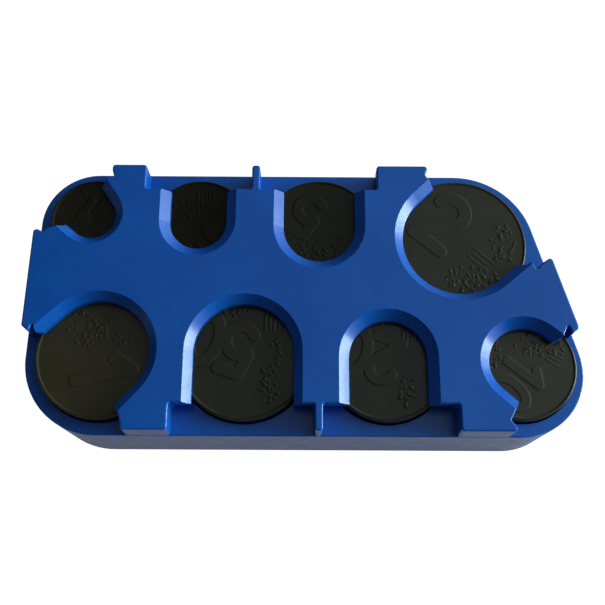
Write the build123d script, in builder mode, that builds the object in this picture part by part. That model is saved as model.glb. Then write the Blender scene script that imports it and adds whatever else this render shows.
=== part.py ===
"""Spring-loaded coin holder with eight wells, modelled as an assembly of separate pieces.

Frame: +Z up, origin at the centre of the footprint on the resting face, long side along X,
front (the side with the larger middle coins) toward -Y.
"""
from math import cos, radians, sin
import os

from build123d import *

os.makedirs("parts", exist_ok=True)

# ---------------------------------------------------------------- driving dimensions, mm
length = 105.9             # overall, along X
width = 52.9               # overall, along Y
deck_z = 18.2              # top of the deck round the wells
lip_z = 20.8               # underside of the top plate: the gap a coin slides out through
plate_z = 23.7             # top of the top plate
leg_step = 0.05            # how far the legs' outer faces stand in from the wall below
leg_lean = 0.24            # and how far in they are at the plate's top face
leg_corner = 0.6           # rounding of the legs' outer corners, in plan
bay_corner = 0.5           # rounding where a leg meets the plate
notch_corner = 0.2         # the same round the small notches in the corner bays
plate_edge = 0.35          # rounding of the plate's upper edge
deck_edge = 0.3            # rounding of the deck's outer edge
foot_edge = 0.4            # rounding round the resting face

# Corner arcs of the outline: x of the centre, radius; y follows from the width.
corner_front_left = 14.5
corner_front_right = 12.7
corner_back_right, corner_back_right_x = 15.7, 30.1
corner_back_left, corner_back_left_x = 11.0, -41.4

well_clearance = 0.7       # well radius beyond the coin radius
pusher_clearance = 0.3     # well radius beyond the pusher radius
lip_land = 1.25            # thickness of the lip at the edge of a finger opening
slot_reach = 40.0          # any length that runs past the outline

wall = 1.8                 # general moulding wall
skirt_wall = 1.3           # outer wall beside the base cover
cover_thickness = 2.0
cover_gap = 0.15
smallest_pocket = 8.0      # mm2, gaps between the wells below this stay solid

pusher_gap = 0.05          # rest gap between pusher rim and lip
pusher_skin = 1.5
pusher_wall = 1.2
pusher_edge = 0.3          # rounding of the pusher's upper edge
pusher_rim = 0.6           # width of the raised rim of the coin-like face
pusher_sink = 0.2          # depth of the face inside the rim
travel = 12.0              # how far a pusher goes down
stop_gap = 0.35            # what is then left between its skirt and the base cover

spring_wire = 0.5
spring_radius = 4.75       # to the centre of the wire
spring_turns = 7.5
seat_ring_radius = spring_radius - spring_wire      # collars that keep the spring centred
seat_ring_width = 1.0
seat_ring_height = 1.2

screw_places = [(-46.9, 2.6), (-9.2, 4.9), (16.3, 2.9), (45.2, -1.4)]
screw_radius = 1.1
screw_pilot = 0.95
screw_clearance = 0.1      # round the shaft and the head in the base cover
screw_length = 9.0
screw_head = 2.1
screw_head_height = 1.1
screw_recess = 0.15        # the heads sit a little inside the resting face
cross_width, cross_span, cross_depth = 0.5, 2.4, 0.6    # driver recess in a screw head
boss_radius = 2.5
boss_top = 13.0

# Wells: coin diameter, centre, then the finger opening over it: centre and radius of the lip
# arc, bevel width, direction the coin slides out, and how far each side flares from it.
wells = {
    "1_euro": (23.25, (-38.3, -11.8), (-38.5, -11.4), 9.75, 1.6, 226, 2),
    "50_cent": (24.25, (-11.25, -11.45), (-11.25, -11.45), 9.4, 1.6, 270, 0),
    "20_cent": (22.25, (15.6, -12.5), (15.6, -12.5), 7.3, 1.9, 270, 0),
    "10_cent": (19.75, (40.7, -13.4), (40.85, -13.1), 6.55, 1.9, 320, 2),
    "1_cent": (16.25, (-41.4, 15.5), (-41.45, 15.75), 4.6, 1.65, 132, 8),
    "2_cent": (18.75, (-20.55, 14.3), (-20.75, 14.6), 5.5, 1.9, 90, 0),
    "5_cent": (21.25, (2.95, 13.2), (2.85, 13.55), 6.95, 1.9, 90, 0),
    "2_euro": (25.75, (29.95, 10.9), (30.0, 11.2), 11.0, 1.7, 42, 2),
}

# Bays: where the plate is cut back between two legs. Each runs round the outside.
front_edge = -21.2         # front edge of the plate between the legs
back_edge = 21.05
side_bays = [
    [(-24.6, -40), (-24.6, front_edge), (1.95, front_edge), (1.95, -40)],
    [(3.45, -40), (3.45, front_edge), (28.3, front_edge), (28.3, -40)],
    [(-31.1, 40), (-31.1, back_edge), (-10.4, back_edge), (-10.4, 40)],
    [(-8.8, 40), (-8.8, back_edge), (14.1, back_edge), (14.1, 40)],
]
corner_bays = [
    [(-70, 7.0), (-51.2, -8.0), (-50.6, -6.4), (-50.0, -8.0), (-48.0, -7.8),
     (-33.9, -22.6), (-33.5, -23.6), (-33.1, -25.0), (-33.1, -40), (-70, -40)],
    [(38.4, -40), (38.4, -25.5), (37.4, -24.1), (38.8, -21.4),
     (46.0, -9.4), (48.1, -8.5), (49.2, -6.2), (49.8, -8.0), (70, 9.2), (70, -40)],
    [(70, 23.3), (45.4, 6.1), (44.1, 4.7), (43.4, 6.3), (42.0, 5.7),
     (25.4, 21.9), (24.3, 23.4), (23.7, 24.3), (24.1, 25.4), (24.1, 40), (70, 40)],
    [(-37.9, 40), (-37.9, 25.1), (-37.5, 23.7), (-38.8, 23.3),
     (-46.8, 13.5), (-49.4, 12.7), (-50.4, 11.9), (-51.3, 12.4), (-70, 12.4), (-70, 40)],
]


# ---------------------------------------------------------------- shared outlines
def polar(centre, radius, angle):
    """Point at a radius and an angle in degrees from a centre."""
    return (centre[0] + radius * cos(radians(angle)), centre[1] + radius * sin(radians(angle)))


def outline(inset=0.0):
    """Outer plan of the holder, a belt round four corner circles, moved in by inset."""
    circles = [
        (-length / 2 + corner_front_left, -width / 2 + corner_front_left, corner_front_left),
        (length / 2 - corner_front_right, -width / 2 + corner_front_right, corner_front_right),
        (corner_back_right_x, width / 2 - corner_back_right, corner_back_right),
        (corner_back_left_x, width / 2 - corner_back_left, corner_back_left),
    ]
    with BuildSketch(mode=Mode.PRIVATE) as plan:
        for x, y, radius in circles:
            with Locations((x, y)):
                Circle(radius - inset)
        make_hull()
    return plan.sketch


def channel(centre, half_width, angle):
    """Plan of a round well with a straight way out of it in one direction."""
    with BuildSketch(mode=Mode.PRIVATE) as plan:
        with Locations(centre):
            Circle(half_width)
        with Locations(Location((*polar(centre, slot_reach / 2, angle), 0), (0, 0, angle))):
            Rectangle(slot_reach, 2 * half_width)
    return plan.sketch


def bay(points, corner):
    """Plan of a bay, with its corners inside the outline rounded."""
    with BuildSketch(mode=Mode.PRIVATE) as plan:
        with BuildLine():
            Polyline(*points, close=True)
        make_face()
        inner = plan.vertices().filter_by(
            lambda point: abs(point.X) < length / 2 and abs(point.Y) < width / 2)
        fillet(inner, corner)
    return plan.sketch


def opening(centre, radius, angle, flare):
    """Plan of a finger opening: an arc round the centre with two sides running outward."""
    left = polar(centre, radius, angle + flare + 90)
    right = polar(centre, radius, angle - flare - 90)
    back = polar(centre, radius, angle + 180)
    with BuildSketch(mode=Mode.PRIVATE) as plan:
        with BuildLine():
            ThreePointArc(left, back, right)
            Polyline(right, polar(right, slot_reach, angle - flare),
                     polar(left, slot_reach, angle + flare), left)
        make_face()
    return plan.sketch


def seat_ring(centre):
    """Plan of a collar that stands inside the end of a spring."""
    with BuildSketch(mode=Mode.PRIVATE) as plan:
        with Locations(centre):
            Circle(seat_ring_radius)
            Circle(seat_ring_radius - seat_ring_width, mode=Mode.SUBTRACT)
    return plan.sketch


def well_radius(coin):
    return coin / 2 + well_clearance


def pusher_radius(coin):
    return well_radius(coin) - pusher_clearance


# ---------------------------------------------------------------- housing
with BuildPart() as housing:
    # Stop walls, legs and plate as one block. It starts a little below the deck, so that
    # the legs run down into the tray's rounded edge.
    leg_foot = Plane.XY.offset(deck_z - deck_edge)
    with BuildSketch(leg_foot):
        add(outline(leg_step))
    with BuildSketch(Plane.XY.offset(plate_z)):
        add(outline(leg_lean))
    loft(ruled=True)

    # Bays between the legs, open from the deck up.
    with BuildSketch(leg_foot):
        for points in side_bays:
            add(bay(points, bay_corner))
        for points in corner_bays:
            add(bay(points, notch_corner))
    extrude(amount=plate_z, mode=Mode.SUBTRACT)

    # Rounded outer corners on the legs, one at a time, then the plate's upper edge.
    for place in [edge.center() for edge in housing.edges().filter_by(GeomType.BSPLINE)]:
        fillet(housing.edges().sort_by_distance(place)[0], leg_corner)
    fillet(housing.faces().sort_by(Axis.Z)[-1].edges(), plate_edge)

    # Slots under the plate, one coin wide.
    with BuildSketch(Plane.XY.offset(deck_z)):
        for coin, centre, lip_centre, lip_radius, bevel, angle, flare in wells.values():
            add(channel(centre, well_radius(coin), angle))
    extrude(amount=lip_z - deck_z, mode=Mode.SUBTRACT)

    # Finger openings: a thin land at the lip, then a bevel up to the top face.
    for coin, centre, lip_centre, lip_radius, bevel, angle, flare in wells.values():
        with BuildSketch(Plane.XY.offset(lip_z)):
            add(opening(lip_centre, lip_radius, angle, flare))
        extrude(amount=lip_land, mode=Mode.SUBTRACT)
        with BuildSketch(Plane.XY.offset(lip_z + lip_land)):
            add(opening(lip_centre, lip_radius, angle, flare))
        with BuildSketch(Plane.XY.offset(plate_z)):
            add(opening(lip_centre, lip_radius + bevel, angle, flare))
        loft(ruled=True, mode=Mode.SUBTRACT)

    # Tray below: outer wall and deck as one block, bored out and cored from below.
    with BuildPart(mode=Mode.PRIVATE) as tray:
        with BuildSketch():
            add(outline())
        extrude(amount=deck_z)
        fillet(tray.faces().sort_by(Axis.Z)[-1].edges(), deck_edge)
        fillet(tray.faces().sort_by(Axis.Z)[0].edges(), foot_edge)
    add(tray.part)

    # Wells, right through the tray.
    with BuildSketch():
        for coin, centre, *rest in wells.values():
            with Locations(centre):
                Circle(well_radius(coin))
    extrude(amount=lip_z, mode=Mode.SUBTRACT)

    # Rebate that takes the base cover.
    with BuildSketch():
        add(outline(skirt_wall))
    extrude(amount=cover_thickness, mode=Mode.SUBTRACT)

    # Pockets cored out from below between the wells, with bosses for the screws.
    with BuildSketch(Plane.XY.offset(cover_thickness), mode=Mode.PRIVATE) as cored:
        add(outline(skirt_wall + wall))
        for coin, centre, *rest in wells.values():
            with Locations(centre):
                Circle(well_radius(coin) + wall, mode=Mode.SUBTRACT)
        with Locations(*screw_places):
            Circle(boss_radius, mode=Mode.SUBTRACT)
    for face in cored.faces():
        if face.area > smallest_pocket:
            extrude(face, amount=deck_z - wall - cover_thickness, dir=(0, 0, 1),
                    mode=Mode.SUBTRACT)
    with Locations(*[(x, y, cover_thickness) for x, y in screw_places]):
        Cylinder(screw_pilot, boss_top - cover_thickness,
                 align=(Align.CENTER, Align.CENTER, Align.MIN), mode=Mode.SUBTRACT)
housing.part.label = "housing"
export_step(housing.part, "parts/housing.step")


# ---------------------------------------------------------------- base cover and its screws
with BuildPart() as base_cover:
    with BuildSketch():
        add(outline(skirt_wall + cover_gap))
    extrude(amount=cover_thickness)
    with BuildSketch(Plane.XY.offset(cover_thickness)):
        for coin, centre, *rest in wells.values():
            add(seat_ring(centre))
    extrude(amount=seat_ring_height)
    with Locations(*[Location((x, y, 0), (180, 0, 0)) for x, y in screw_places]):
        CounterSinkHole(screw_radius + screw_clearance,
                        screw_head + screw_recess + screw_clearance, cover_thickness)
base_cover.part.label = "base_cover"
export_step(base_cover.part, "parts/base_cover.step")

with BuildPart() as cover_screws:
    with Locations(*[(x, y, screw_recess) for x, y in screw_places]):
        Cone(screw_head, screw_radius, screw_head_height,
             align=(Align.CENTER, Align.CENTER, Align.MIN))
        Cylinder(screw_radius, screw_length, align=(Align.CENTER, Align.CENTER, Align.MIN))
        Box(cross_width, cross_span, 2 * cross_depth, mode=Mode.SUBTRACT)
        Box(cross_span, cross_width, 2 * cross_depth, mode=Mode.SUBTRACT)
cover_screws.part.label = "cover_screws"
export_step(cover_screws.part, "parts/cover_screws.step")


# ---------------------------------------------------------------- pushers and springs
pusher_top = lip_z - pusher_gap
pusher_bottom = cover_thickness + stop_gap + travel
pusher_height = pusher_top - pusher_bottom
spring_top = pusher_top - pusher_skin
spring_height = spring_top - cover_thickness - spring_wire - pusher_gap

for name, (coin, centre, *rest) in wells.items():
    with BuildPart() as pusher:
        radius = pusher_radius(coin)
        with Locations((*centre, pusher_bottom)):
            Cylinder(radius, pusher_height, align=(Align.CENTER, Align.CENTER, Align.MIN))
            Cylinder(radius - pusher_wall, pusher_height - pusher_skin,
                     align=(Align.CENTER, Align.CENTER, Align.MIN), mode=Mode.SUBTRACT)
        top_edge = pusher.edges().filter_by(GeomType.CIRCLE).group_by(Axis.Z)[-1]
        fillet(top_edge, pusher_edge)
        with Locations((*centre, pusher_top - pusher_sink)):
            Cylinder(radius - pusher_rim, pusher_sink,
                     align=(Align.CENTER, Align.CENTER, Align.MIN), mode=Mode.SUBTRACT)
        with BuildSketch(Plane.XY.offset(spring_top)):
            add(seat_ring(centre))
        extrude(amount=-seat_ring_height)
    pusher.part.label = f"pusher_{name}"
    export_step(pusher.part, f"parts/pusher_{name}.step")

    with BuildPart() as spring:
        start = (*centre, cover_thickness + spring_wire / 2)
        with BuildLine():
            coil = Helix(spring_height / spring_turns, spring_height, spring_radius, start)
        with BuildSketch(Plane(coil @ 0, z_dir=coil % 0)):
            Circle(spring_wire / 2)
        sweep(is_frenet=True)
    spring.part.label = f"spring_{name}"
    export_step(spring.part, f"parts/spring_{name}.step")
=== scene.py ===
"""Looks of the spring-loaded coin holder: relief on the pushers, wound springs, materials,
floor, light and camera. Everything is in metres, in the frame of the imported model."""
import math
import random

import bpy
import numpy as np
from mathutils import Matrix, Vector


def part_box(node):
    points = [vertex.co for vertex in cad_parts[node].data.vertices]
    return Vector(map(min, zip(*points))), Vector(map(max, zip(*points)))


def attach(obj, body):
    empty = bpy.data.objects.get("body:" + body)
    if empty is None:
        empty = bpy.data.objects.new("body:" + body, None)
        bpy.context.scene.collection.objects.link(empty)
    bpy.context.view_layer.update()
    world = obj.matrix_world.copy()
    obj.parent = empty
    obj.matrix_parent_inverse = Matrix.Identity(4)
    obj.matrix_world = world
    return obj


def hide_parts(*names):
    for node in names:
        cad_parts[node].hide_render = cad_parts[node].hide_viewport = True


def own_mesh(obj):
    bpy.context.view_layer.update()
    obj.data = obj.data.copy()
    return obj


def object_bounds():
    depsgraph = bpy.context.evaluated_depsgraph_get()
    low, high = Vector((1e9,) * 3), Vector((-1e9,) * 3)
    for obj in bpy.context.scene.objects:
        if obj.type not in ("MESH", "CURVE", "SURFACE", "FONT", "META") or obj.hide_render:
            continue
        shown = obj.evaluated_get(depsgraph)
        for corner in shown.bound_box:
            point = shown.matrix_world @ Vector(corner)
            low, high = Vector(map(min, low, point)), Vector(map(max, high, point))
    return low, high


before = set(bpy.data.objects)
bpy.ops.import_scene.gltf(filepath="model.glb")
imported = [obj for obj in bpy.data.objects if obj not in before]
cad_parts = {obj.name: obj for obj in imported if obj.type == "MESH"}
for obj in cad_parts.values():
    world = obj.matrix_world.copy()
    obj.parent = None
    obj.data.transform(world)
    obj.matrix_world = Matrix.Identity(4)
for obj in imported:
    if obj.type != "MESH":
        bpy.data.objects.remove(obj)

MM = 0.001
cad_lo, cad_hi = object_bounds()

wells = [name[len("pusher_"):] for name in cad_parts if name.startswith("pusher_")]


# ---------------------------------------------------------------- camera
# Nearly overhead, from the front, tilted this far from straight down.
camera_place = Vector((-0.71, -51.70, 178.98)) * MM
camera_tilt = math.radians(17.68)
camera_yaw = math.radians(-0.41)
camera_roll = math.radians(0.71)
camera_lens = 51.79        # mm, for the sensor width below
camera_sensor = 36
camera_clip = (0.01, 20)


def make_camera():
    """The camera that took the photo, as fitted to it."""
    data = bpy.data.cameras.new("camera")
    data.lens = camera_lens
    data.sensor_width = camera_sensor
    data.clip_start, data.clip_end = camera_clip
    camera = bpy.data.objects.new("camera", data)
    turn = (Matrix.Rotation(camera_yaw, 4, "Z") @ Matrix.Rotation(camera_tilt, 4, "X")
            @ Matrix.Rotation(camera_roll, 4, "Z"))
    camera.matrix_world = Matrix.Translation(camera_place) @ turn
    bpy.context.scene.collection.objects.link(camera)
    bpy.context.scene.camera = camera


# ---------------------------------------------------------------- meshes
def new_object(name, points, faces, smooth_angle=30):
    """Object of the scene made from points and faces, smooth up to an angle in degrees."""
    mesh = bpy.data.meshes.new(name)
    mesh.from_pydata([tuple(p) for p in points], [], faces)
    mesh.update()
    mesh.validate()
    obj = bpy.data.objects.new(name, mesh)
    bpy.context.scene.collection.objects.link(obj)
    shade(mesh, smooth_angle)
    return obj


def shade(mesh, angle):
    """Smooth shading with edges sharper than an angle kept sharp."""
    mesh.polygons.foreach_set("use_smooth", np.ones(len(mesh.polygons), dtype=bool))
    mesh.set_sharp_from_angle(angle=math.radians(angle))


def disc_grid(radius, step):
    """Points and quads of a disc: a square grid pressed into the circle, and its border loop."""
    # Each side of the grid becomes a quarter of the circle, in an even number of steps.
    n = 2 * max(4, round(radius * math.pi / 4 / step))
    side = np.linspace(-1, 1, n + 1)
    a, b = np.meshgrid(side, side)
    flat = np.abs(a) > np.abs(b)
    reach = np.where(flat, a, b)
    other = np.where(flat, b, a)
    with np.errstate(divide="ignore", invalid="ignore"):
        share = np.where(reach == 0, 0, other / reach) * math.pi / 4
    x = np.where(flat, reach * np.cos(share), reach * np.sin(share))
    y = np.where(flat, reach * np.sin(share), reach * np.cos(share))
    points = np.stack([x.ravel(), y.ravel()], 1) * radius
    row = n + 1
    faces = [(j * row + i, j * row + i + 1, (j + 1) * row + i + 1, (j + 1) * row + i)
             for j in range(n) for i in range(n)]
    border = list(range(n))
    border += [j * row + n for j in range(n)]
    border += [n * row + n - i for i in range(n)]
    border += [(n - j) * row for j in range(n)]
    return points, faces, border


# ---------------------------------------------------------------- relief of the faces
# Digits as strokes in a box one unit high, each a list of points.
def arc(cx, cy, rx, ry, start, end, count=24):
    """Points along a stretch of an ellipse, between two angles in degrees."""
    angles = np.radians(np.linspace(start, end, count))
    return np.stack([cx + rx * np.cos(angles), cy + ry * np.sin(angles)], 1)


digit_strokes = {
    "0": [arc(0, 0, 0.24, 0.42, 0, 360, 48)],
    "1": [np.array([(0.06, -0.42), (0.06, 0.42), (-0.16, 0.2)])],
    "2": [np.vstack([arc(0, 0.19, 0.24, 0.23, 165, -20), [(-0.25, -0.42), (0.27, -0.42)]])],
    "5": [np.vstack([[(0.22, 0.42), (-0.15, 0.42), (-0.2, 0.04)],
                     arc(0, -0.15, 0.25, 0.26, 125, -140)])],
}
digit_step = 0.60          # from one digit to the next, of the digit height
stroke_share = 0.19        # stroke width, of the digit height
bar_share = 0.16           # half of a bar's width, of the spacing between bars
bar_cut = 0.25             # how much shorter every second bar is, of its length
speck_size = (0.04, 0.15)  # mm, half of a speck's width
speck_reach = 0.4          # mm, how far a speck's tail goes at most, along each axis
speck_share = (0.6, 1)     # height of a speck, of the full one


def distance_to_path(points, path):
    """Distance of each point to a chain of straight pieces."""
    best = np.full(len(points), 1e9)
    for start, end in zip(path[:-1], path[1:]):
        along = end - start
        share = np.clip(((points - start) @ along) / max(along @ along, 1e-12), 0, 1)
        gap = np.linalg.norm(points - start - share[:, None] * along, axis=1)
        best = np.minimum(best, gap)
    return best


def turned(points, centre, turn):
    """Points seen from a centre, in axes turned by an angle in degrees."""
    c, s = math.cos(math.radians(turn)), math.sin(math.radians(turn))
    p = points - np.array(centre)
    return np.stack([p[:, 0] * c + p[:, 1] * s, -p[:, 0] * s + p[:, 1] * c], 1)


def raised(distance, half_width, slope):
    """1 on the raised part, falling to 0 over the slope beside it."""
    t = np.clip((half_width + slope - distance) / slope, 0, 1)
    return t * t * (3 - 2 * t)


def digits_relief(points, text, size, centre, turn, slope):
    """Share of the full height at each point, for the digits of a number."""
    own = turned(points, centre, turn) / size
    high = np.zeros(len(points))
    for i, digit in enumerate(text):
        shift = (i - (len(text) - 1) / 2) * digit_step
        for stroke in digit_strokes[digit]:
            gap = distance_to_path(own - (shift, 0), stroke)
            high = np.maximum(high, raised(gap, stroke_share / 2, slope / size))
    return high


def bars_relief(points, centre, count, spacing, length, turn, slope):
    """Share of the full height at each point, for parallel bars, every second one shorter."""
    own = turned(points, centre, turn)
    high = np.zeros(len(points))
    for i in range(count):
        at = (i - (count - 1) / 2) * spacing
        reach = length / 2 * (1 - bar_cut * (i % 2))
        gap = distance_to_path(own, np.array([(at, -reach), (at, reach)]))
        high = np.maximum(high, raised(gap, spacing * bar_share, slope))
    return high


def specks_relief(points, centre, spread, count, draw, slope):
    """Share of the full height at each point, for specks scattered over an ellipse."""
    high = np.zeros(len(points))
    for _ in range(count):
        angle = draw.uniform(0, 2 * math.pi)
        reach = math.sqrt(draw.random())
        at = np.array(centre) + np.array([math.cos(angle) * spread[0],
                                          math.sin(angle) * spread[1]]) * reach
        size = draw.uniform(*speck_size)
        tail = at + np.array([draw.uniform(-speck_reach, speck_reach),
                              draw.uniform(-speck_reach, speck_reach)])
        gap = distance_to_path(points, np.array([at, tail]))
        high = np.maximum(high, raised(gap, size, slope) * draw.uniform(*speck_share))
    return high


# Relief of each face in mm from its centre: the number with its height, centre and turn,
# then groups of bars (centre, count, spacing, length, turn) and of specks (centre, spread, count).
designs = {
    "1_euro": ("1", 12.5, (0.9, -3.0), -78, [],
               [((-2.6, 5.0), (4.2, 3.8), 60), ((3.4, 3.0), (1.4, 1.6), 8)]),
    "50_cent": ("50", 11.0, (-4.4, 2.0), 162, [((6.0, 6.2), 6, 0.85, 3.2, 0)],
                [((4.6, -5.6), (1.9, 3.6), 34), ((6.0, 0.6), (1.2, 3.2), 12),
                 ((-2.4, 8.4), (3.0, 0.9), 18)]),
    "20_cent": ("20", 9.6, (-3.4, 1.0), 162, [((4.6, 5.0), 5, 0.8, 2.8, 0)],
                [((3.6, -5.8), (1.7, 3.2), 24), ((-2.2, 7.2), (2.4, 0.8), 14)]),
    "10_cent": ("10", 8.6, (-1.2, -3.0), 231, [((6.4, 1.6), 4, 0.8, 2.4, 60)],
                [((3.6, 4.0), (4.6, 2.2), 44), ((-5.4, 2.4), (1.4, 3.2), 22)]),
    "1_cent": ("1", 7.0, (-1.8, 1.6), 150, [], [((-1.0, 3.4), (3.4, 3.0), 22)]),
    "2_cent": ("2", 8.0, (3.4, 0.6), 170, [((0.9, 5.2), 5, 0.75, 4.6, 0)],
               [((-3.6, 3.8), (2.4, 2.6), 22), ((-1.0, -4.6), (2.6, 1.6), 12)]),
    "5_cent": ("5", 9.6, (-2.6, 3.6), 152, [((-5.6, 0.3), 5, 0.75, 2.2, 90),
                                            ((4.6, -2.8), 5, 0.75, 2.4, 75)],
               [((-0.6, -4.0), (4.4, 2.2), 32)]),
    "2_euro": ("2", 12.6, (-2.8, 4.8), -40, [((4.2, -3.2), 3, 1.0, 4.6, 48)],
               [((8.6, 0.0), (2.4, 4.2), 46), ((2.6, -7.4), (5.4, 2.8), 62)]),
}
relief_height = 0.075      # mm, of the digits above the field
bar_height = 0.6           # of the digits' height
relief_slope = 0.18        # mm, width of the sloping side of a digit or bar
speck_height = 0.11        # mm, of the small specks
speck_slope = 0.12         # mm, width of the sloping side of a speck
plain_border = (0.25, 0.4)  # mm, flat ring at the edge, then the width over which relief starts
grid_step = 0.10           # mm, between points of a face


def face_height(name, points):
    """Height of the relief above the field, in mm, for points in mm from the centre."""
    text, size, centre, turn, bars, specks = designs[name]
    draw = random.Random(name)
    high = relief_height * digits_relief(points, text, size, centre, turn, relief_slope)
    for place, count, spacing, length, lie in bars:
        bar = bars_relief(points, place, count, spacing, length, lie, relief_slope)
        high = np.maximum(high, bar_height * relief_height * bar)
    for place, spread, count in specks:
        speck = specks_relief(points, place, spread, count, draw, speck_slope)
        high = np.maximum(high, speck_height * speck)
    flat, fade = plain_border
    reach = np.linalg.norm(points, axis=1)
    inside = np.clip((reach.max() - flat - reach) / fade, 0, 1)
    return high * inside


# ---------------------------------------------------------------- pushers
rim_width = 0.6 * MM       # of the raised rim round the field
rim_height = 0.12 * MM     # above the field
rim_foot = (0.06 * MM, 0.05 * MM)      # on its inner slope, out from the field and up from it
rim_head = (0.14 * MM, 0.05 * MM)      # on its inner slope, out from the field and below the top
rim_start = 0.2 * MM       # where its top starts, out from the field
edge_round = 0.3 * MM      # rounding of the outer edges
skirt_wall = 1.2 * MM      # thickness of the side
skirt_round = 0.12 * MM    # rounding of the skirt's inner edge
crown_skin = 1.5 * MM      # thickness of the top
corner_cut = (0.1 * MM, 0.09 * MM)     # middle of the inner corner, in from the skirt and down
seat_outer = 4.25 * MM     # radius of the collar that keeps the spring centred
seat_inner = 3.25 * MM
seat_height = 1.2 * MM
face_angle = 40            # degrees, sharpest edge that is shaded smooth


def rounded_corner(r, z, radius, start, count=5):
    """Points of a quarter circle round (r, z), from a start angle, turning clockwise."""
    return [(r + radius * math.cos(math.radians(start - 90 * i / (count - 1))),
             z + radius * math.sin(math.radians(start - 90 * i / (count - 1))))
            for i in range(count)]


def pusher_profile(radius, bottom, top):
    """Radius and height of each ring, from the edge of the field over the rim and down inside."""
    field = top - rim_height
    inner = radius - rim_width
    skirt = radius - skirt_wall
    ceiling = top - crown_skin
    profile = [(inner + rim_foot[0], field + rim_foot[1])]
    profile += [(inner + rim_head[0], top - rim_head[1])]
    profile += [(inner + rim_start, top)]
    profile += rounded_corner(radius - edge_round, top - edge_round, edge_round, 90)
    profile += rounded_corner(radius - edge_round, bottom + edge_round, edge_round, 0)
    profile += rounded_corner(skirt + skirt_round, bottom + skirt_round, skirt_round, -90)
    profile += [(skirt, ceiling - edge_round)]
    profile += [(skirt - corner_cut[0], ceiling - corner_cut[1])]
    profile += [(skirt - edge_round, ceiling)]
    profile += [(seat_outer, ceiling), (seat_outer, ceiling - seat_height)]
    profile += [(seat_inner, ceiling - seat_height), (seat_inner, ceiling)]
    return profile


def make_pusher(name):
    """Hollow pusher with the relief of a coin on its crown."""
    node = f"pusher_{name}"
    lo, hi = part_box(node)
    centre = (lo + hi) / 2
    radius = (hi.x - lo.x) / 2
    field_radius = radius - rim_width
    flat, quads, border = disc_grid(field_radius, grid_step * MM)
    heights = face_height(name, flat / MM) * MM
    field = hi.z - rim_height
    points = np.column_stack([flat[:, 0] + centre.x, flat[:, 1] + centre.y, field + heights])
    points = list(map(tuple, points))
    turns = [math.atan2(flat[i][1], flat[i][0]) for i in border]
    last = border
    wall_start = len(quads)
    for r, z in pusher_profile(radius, lo.z, hi.z):
        start = len(points)
        points += [(centre.x + r * math.cos(t), centre.y + r * math.sin(t), z) for t in turns]
        ring = list(range(start, start + len(turns)))
        for i in range(len(turns)):
            j = (i + 1) % len(turns)
            quads.append((last[i], last[j], ring[j], ring[i]))
        last = ring
    hub = len(points)
    points.append((centre.x, centre.y, hi.z - crown_skin))
    for i in range(len(turns)):
        quads.append((last[i], last[(i + 1) % len(turns)], hub))
    # The border runs anticlockwise seen from above, so the walls face outward when reversed.
    quads[wall_start:] = [tuple(reversed(q)) for q in quads[wall_start:]]
    obj = new_object(f"coin_{name}", points, quads, face_angle)
    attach(obj, node)
    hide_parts(node)
    return obj


# ---------------------------------------------------------------- springs
wire = 0.5 * MM
coil_sides = 12
points_per_turn = 40
open_turns = 5.5
closed_turns = 1.25        # at each end
closed_pitch = 1.06        # rise of a closed turn, of the wire
coil_angle = 60            # degrees, sharpest edge that is shaded smooth


def make_spring(name):
    """Compression spring with closed end turns."""
    node = f"spring_{name}"
    lo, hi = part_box(node)
    centre = (lo + hi) / 2
    radius = (hi.x - lo.x) / 2 - wire / 2
    bottom, top = lo.z + wire / 2, hi.z - wire / 2
    closed_rise = closed_turns * wire * closed_pitch
    total = open_turns + 2 * closed_turns
    count = int(total * points_per_turn)
    line = []
    for i in range(count + 1):
        turn = total * i / count
        if turn < closed_turns:
            z = bottom + closed_rise * turn / closed_turns
        elif turn > total - closed_turns:
            z = top - closed_rise * (total - turn) / closed_turns
        else:
            share = (turn - closed_turns) / open_turns
            z = bottom + closed_rise + (top - bottom - 2 * closed_rise) * share
        a = 2 * math.pi * turn
        line.append(Vector((centre.x + radius * math.cos(a), centre.y + radius * math.sin(a), z)))
    points, quads = [], []
    for i, p in enumerate(line):
        ahead = line[min(i + 1, count)] - line[max(i - 1, 0)]
        out = Vector((p.x - centre.x, p.y - centre.y, 0)).normalized()
        up = ahead.normalized().cross(out).normalized()
        for k in range(coil_sides):
            a = 2 * math.pi * k / coil_sides
            points.append(p + (out * math.cos(a) + up * math.sin(a)) * wire / 2)
    for i in range(count):
        for k in range(coil_sides):
            m = (k + 1) % coil_sides
            quads.append((i * coil_sides + k, i * coil_sides + m,
                          (i + 1) * coil_sides + m, (i + 1) * coil_sides + k))
    quads.append(tuple(reversed(range(coil_sides))))
    quads.append(tuple(count * coil_sides + k for k in range(coil_sides)))
    obj = new_object(f"coil_{name}", points, quads, coil_angle)
    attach(obj, "holder")
    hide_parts(node)
    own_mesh(obj)
    return obj


# ---------------------------------------------------------------- materials
noise_range = (0.3, 0.7)   # where most values of a noise lie
plastic_specular = 0.5
grain_depth = 0.04 * MM    # height of the finest bumps
wave_depth = 0.3 * MM      # height of the mould's slow waves


def material(name):
    """A new material, its node tree and its shader."""
    mat = bpy.data.materials.new(name)
    mat.use_nodes = True
    tree = mat.node_tree
    return mat, tree, tree.nodes["Principled BSDF"]


def noise(tree, scale, detail=4, roughness=0.5):
    """Noise in the object's own metres."""
    place = tree.nodes.new("ShaderNodeTexCoord")
    node = tree.nodes.new("ShaderNodeTexNoise")
    node.inputs["Scale"].default_value = scale
    node.inputs["Detail"].default_value = detail
    node.inputs["Roughness"].default_value = roughness
    tree.links.new(place.outputs["Object"], node.inputs["Vector"])
    return node


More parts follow.
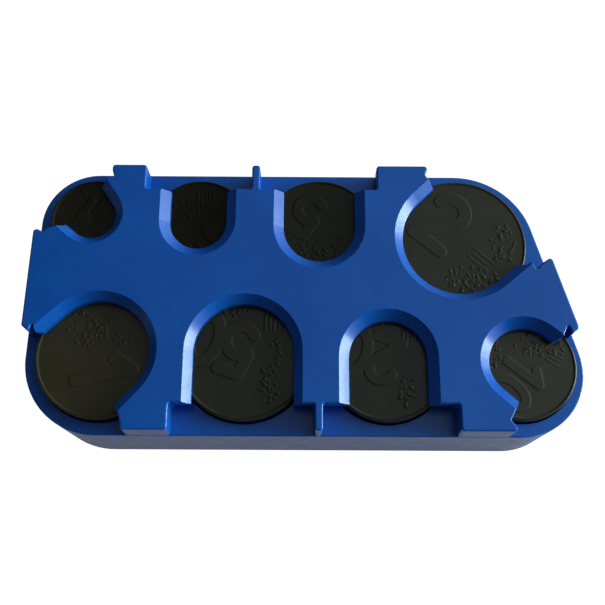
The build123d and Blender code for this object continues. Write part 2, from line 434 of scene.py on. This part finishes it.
def ramp(tree, value, low, high, first, second):
    """Colours from first to second as a value goes from low to high."""
    node = tree.nodes.new("ShaderNodeValToRGB")
    node.color_ramp.elements[0].position = low
    node.color_ramp.elements[0].color = (*first, 1)
    node.color_ramp.elements[1].position = high
    node.color_ramp.elements[1].color = (*second, 1)
    tree.links.new(value, node.inputs["Fac"])
    return node


def span(tree, value, low, high, first, second):
    """A value mapped from low..high to first..second."""
    node = tree.nodes.new("ShaderNodeMapRange")
    node.inputs["From Min"].default_value = low
    node.inputs["From Max"].default_value = high
    node.inputs["To Min"].default_value = first
    node.inputs["To Max"].default_value = second
    tree.links.new(value, node.inputs["Value"])
    return node


def bump(tree, height, strength, distance, under=None):
    """Bump from a height, on top of another bump if one is given."""
    node = tree.nodes.new("ShaderNodeBump")
    node.inputs["Strength"].default_value = strength
    node.inputs["Distance"].default_value = distance
    tree.links.new(height, node.inputs["Height"])
    if under is not None:
        tree.links.new(under, node.inputs["Normal"])
    return node


blue_deep, blue_pale = (0.0006, 0.090, 0.50), (0.0020, 0.116, 0.57)
blue_roughness = (0.22, 0.30)


def blue_plastic():
    """Moulded blue with faint clouds, a fine grain and slight waves from the mould."""
    mat, tree, shader = material("blue_plastic")
    cloud = noise(tree, scale=60)
    colour = ramp(tree, cloud.outputs["Fac"], *noise_range, blue_deep, blue_pale)
    tree.links.new(colour.outputs["Color"], shader.inputs["Base Color"])
    patch = noise(tree, scale=260, detail=5, roughness=0.6)
    rough = span(tree, patch.outputs["Fac"], *noise_range, *blue_roughness)
    tree.links.new(rough.outputs["Result"], shader.inputs["Roughness"])
    grain = noise(tree, scale=7000, detail=3, roughness=0.7)
    wave = noise(tree, scale=160, detail=2, roughness=0.4)
    fine = bump(tree, grain.outputs["Fac"], strength=0.06, distance=grain_depth)
    broad = bump(tree, wave.outputs["Fac"], strength=0.1, distance=wave_depth,
                 under=fine.outputs["Normal"])
    tree.links.new(broad.outputs["Normal"], shader.inputs["Normal"])
    shader.inputs["Specular IOR Level"].default_value = plastic_specular
    return mat


# How much lighter each pusher's black is painted, as painted light that stands in for how the
# light falls on each pusher, and how glossy each is, as shares of the usual.
painted_light_and_gloss = {"1_euro": (3.2, 1.0), "50_cent": (1.6, 1.0), "20_cent": (1.4, 1.0),
        "10_cent": (2.1, 1.0), "1_cent": (1.4, 0.5), "2_cent": (1.0, 0.3),
        "5_cent": (1.3, 0.55), "2_euro": (2.0, 0.9)}
black_clean, black_dusty = (0.0108, 0.0090, 0.0042), (0.0150, 0.0126, 0.0064)
black_roughness = (0.26, 0.36)


def black_plastic(name):
    """Warm black with a little dust in clouds, painted lighter as a whole by a share per pusher
    that stands in for how the light falls on it, for one pusher.
    """
    mat, tree, shader = material(f"black_plastic_{name}")
    painted_light, gloss = painted_light_and_gloss[name]
    cloud = noise(tree, scale=140)
    # The whole black is painted lighter per pusher: painted light, standing in for how the light
    # falls on each pusher.
    colour = ramp(tree, cloud.outputs["Fac"], *noise_range,
                  tuple(c * painted_light for c in black_clean), tuple(c * painted_light for c in black_dusty))
    tree.links.new(colour.outputs["Color"], shader.inputs["Base Color"])
    patch = noise(tree, scale=500, detail=5, roughness=0.6)
    rough = span(tree, patch.outputs["Fac"], *noise_range, *black_roughness)
    tree.links.new(rough.outputs["Result"], shader.inputs["Roughness"])
    shader.inputs["Specular IOR Level"].default_value = plastic_specular * gloss
    grain = noise(tree, scale=5000, detail=3, roughness=0.7)
    fine = bump(tree, grain.outputs["Fac"], strength=0.10, distance=grain_depth)
    tree.links.new(fine.outputs["Normal"], shader.inputs["Normal"])
    return mat


steel_dark = 0.8           # tint of the darker clouds, of the full one
steel_vary = (0.8, 1.25)   # least and greatest roughness, of the usual one


def steel(name, tint, roughness):
    """Metal with soft clouds and patches of different roughness."""
    mat, tree, shader = material(name)
    cloud = noise(tree, scale=600)
    colour = ramp(tree, cloud.outputs["Fac"], *noise_range,
                  tuple(steel_dark * c for c in tint), tint)
    tree.links.new(colour.outputs["Color"], shader.inputs["Base Color"])
    shader.inputs["Metallic"].default_value = 1.0
    patch = noise(tree, scale=2500, detail=3)
    rough = span(tree, patch.outputs["Fac"], *noise_range,
                 *(roughness * share for share in steel_vary))
    tree.links.new(rough.outputs["Result"], shader.inputs["Roughness"])
    return mat


paper_glow = 1.0           # keeps the paper white to the camera where the object shades it
paper_sheen = 0.24         # painted reflection: how bright the paper in front glows in glossy rays only, which paints its reflection onto the object
paper_fade = (-0.05, 0.10)  # from front to back, where that painted reflection and the painted lighter grey fade out
paper_back, paper_front = 0.12, 0.42   # grey of the paper behind and in front, as the object sees it: painted shade behind and painted light in front
paper_roughness = 0.9


def floor_paper():
    """White paper to the camera. The object sees it with painted light in front and painted shade
    behind, and, in glossy rays, a painted reflection of its front.
    """
    mat, tree, shader = material("floor_paper")
    place = tree.nodes.new("ShaderNodeTexCoord")
    split = tree.nodes.new("ShaderNodeSeparateXYZ")
    tree.links.new(place.outputs["Object"], split.inputs["Vector"])
    ahead = span(tree, split.outputs["Y"], *paper_fade, 1, 0)
    # The grey is painted shade behind the object and painted light in front of it.
    colour = ramp(tree, ahead.outputs["Result"], 0, 1, (paper_back,) * 3, (paper_front,) * 3)
    tree.links.new(colour.outputs["Color"], shader.inputs["Base Color"])
    shader.inputs["Roughness"].default_value = paper_roughness
    shader.inputs["Emission Color"].default_value = (1, 1, 1, 1)
    ray = tree.nodes.new("ShaderNodeLightPath")
    # Glow seen only in glossy rays and only in front: a painted reflection.
    mirrored = span(tree, ray.outputs["Is Glossy Ray"], 0, 1, 0, paper_sheen)
    glow = span(tree, ray.outputs["Is Camera Ray"], 0, 1, 0, paper_glow)
    total = tree.nodes.new("ShaderNodeMath")
    total.operation = "MULTIPLY_ADD"
    tree.links.new(mirrored.outputs["Result"], total.inputs[0])
    tree.links.new(ahead.outputs["Result"], total.inputs[1])
    tree.links.new(glow.outputs["Result"], total.inputs[2])
    tree.links.new(total.outputs["Value"], shader.inputs["Emission Strength"])
    return mat


def paint(obj, mat):
    obj.data.materials.clear()
    obj.data.materials.append(mat)


# ---------------------------------------------------------------- floor and light
floor_half = 6.0
floor_gap = 0.05 * MM      # between the floor and the underside of the object
window_place = (1.14, 0.09, 0.26)
window_aim = (0, 0, 0.015)
window_size = (0.66, 0.48)
window_power = 16
window_tint = (0.78, 1.0, 0.92)

# Two parts of the room, each as brightness against how far a direction points toward it.
side_toward = (0.80, 0.34, -0.50)
side_range = (0.15, 0.9)
side_stops = [(0.0, 0.02), (1.0, 0.9)]
side_strength = 2.4
ceiling_toward = (0.50, 0.30, 0.81)
ceiling_range = (0.0, 1.0)
ceiling_stops = [(0.66, 0.0), (0.95, 0.27), (1.0, 0.45)]
ceiling_strength = 1.5
ceiling_tint = (0.80, 1.0, 1.0)


def make_floor(mat):
    """A square of paper just under the object."""
    below = cad_lo.z - floor_gap
    corners = [(x * floor_half, y * floor_half, below)
               for x, y in ((-1, -1), (1, -1), (1, 1), (-1, 1))]
    floor = new_object("floor", corners, [(0, 1, 2, 3)])
    paint(floor, mat)


def make_window():
    """The main light, low on the right and slightly cyan."""
    data = bpy.data.lights.new("window", "AREA")
    data.shape = "RECTANGLE"
    data.size, data.size_y = window_size
    data.energy = window_power
    data.color = window_tint
    light = bpy.data.objects.new("window", data)
    light.location = window_place
    toward = Vector(window_aim) - Vector(window_place)
    light.rotation_mode = "QUATERNION"
    light.rotation_quaternion = toward.to_track_quat("-Z", "Y")
    bpy.context.scene.collection.objects.link(light)


def room_part(tree, toward, limits, stops, strength, tint=(1, 1, 1)):
    """Light from the room that grows with how far a direction points toward a side."""
    place = tree.nodes.new("ShaderNodeTexCoord")
    along = tree.nodes.new("ShaderNodeVectorMath")
    along.operation = "DOT_PRODUCT"
    along.inputs[1].default_value = toward
    tree.links.new(place.outputs["Generated"], along.inputs[0])
    share = span(tree, along.outputs["Value"], *limits, 0, 1)
    grey = tree.nodes.new("ShaderNodeValToRGB")
    while len(grey.color_ramp.elements) < len(stops):
        grey.color_ramp.elements.new(0.5)
    for element, (position, value) in zip(grey.color_ramp.elements, stops):
        element.position = position
        element.color = (*(value * c for c in tint), 1)
    tree.links.new(share.outputs["Result"], grey.inputs["Fac"])
    light = tree.nodes.new("ShaderNodeBackground")
    light.inputs["Strength"].default_value = strength
    tree.links.new(grey.outputs["Color"], light.inputs["Color"])
    return light.outputs["Background"]


def make_room():
    """A dim room, with light from the right side and the ceiling, and a white backdrop."""
    world = bpy.data.worlds.new("room")
    world.use_nodes = True
    tree = world.node_tree
    both = tree.nodes.new("ShaderNodeAddShader")
    side = room_part(tree, side_toward, side_range, side_stops, side_strength)
    ceiling = room_part(tree, ceiling_toward, ceiling_range, ceiling_stops, ceiling_strength,
                        ceiling_tint)
    tree.links.new(side, both.inputs[0])
    tree.links.new(ceiling, both.inputs[1])
    # The camera sees white past the floor's edge, everything else sees the room.
    seen = tree.nodes.new("ShaderNodeMixShader")
    ray = tree.nodes.new("ShaderNodeLightPath")
    backdrop = tree.nodes.new("ShaderNodeBackground")
    backdrop.inputs["Color"].default_value = (1, 1, 1, 1)
    tree.links.new(ray.outputs["Is Camera Ray"], seen.inputs["Fac"])
    tree.links.new(both.outputs["Shader"], seen.inputs[1])
    tree.links.new(backdrop.outputs["Background"], seen.inputs[2])
    tree.links.new(seen.outputs["Shader"], tree.nodes["World Output"].inputs["Surface"])
    bpy.context.scene.world = world
    bpy.context.scene.view_settings.view_transform = "Standard"


make_camera()
blue = blue_plastic()
spring_metal = steel("spring_metal", (0.62, 0.62, 0.64), 0.28)
screw_metal = steel("screw_metal", (0.55, 0.56, 0.58), 0.35)
make_floor(floor_paper())
make_room()
make_window()

for node in ("housing", "base_cover"):
    paint(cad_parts[node], blue)
paint(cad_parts["cover_screws"], screw_metal)
for well in wells:
    paint(make_pusher(well), black_plastic(well))
    paint(make_spring(well), spring_metal)
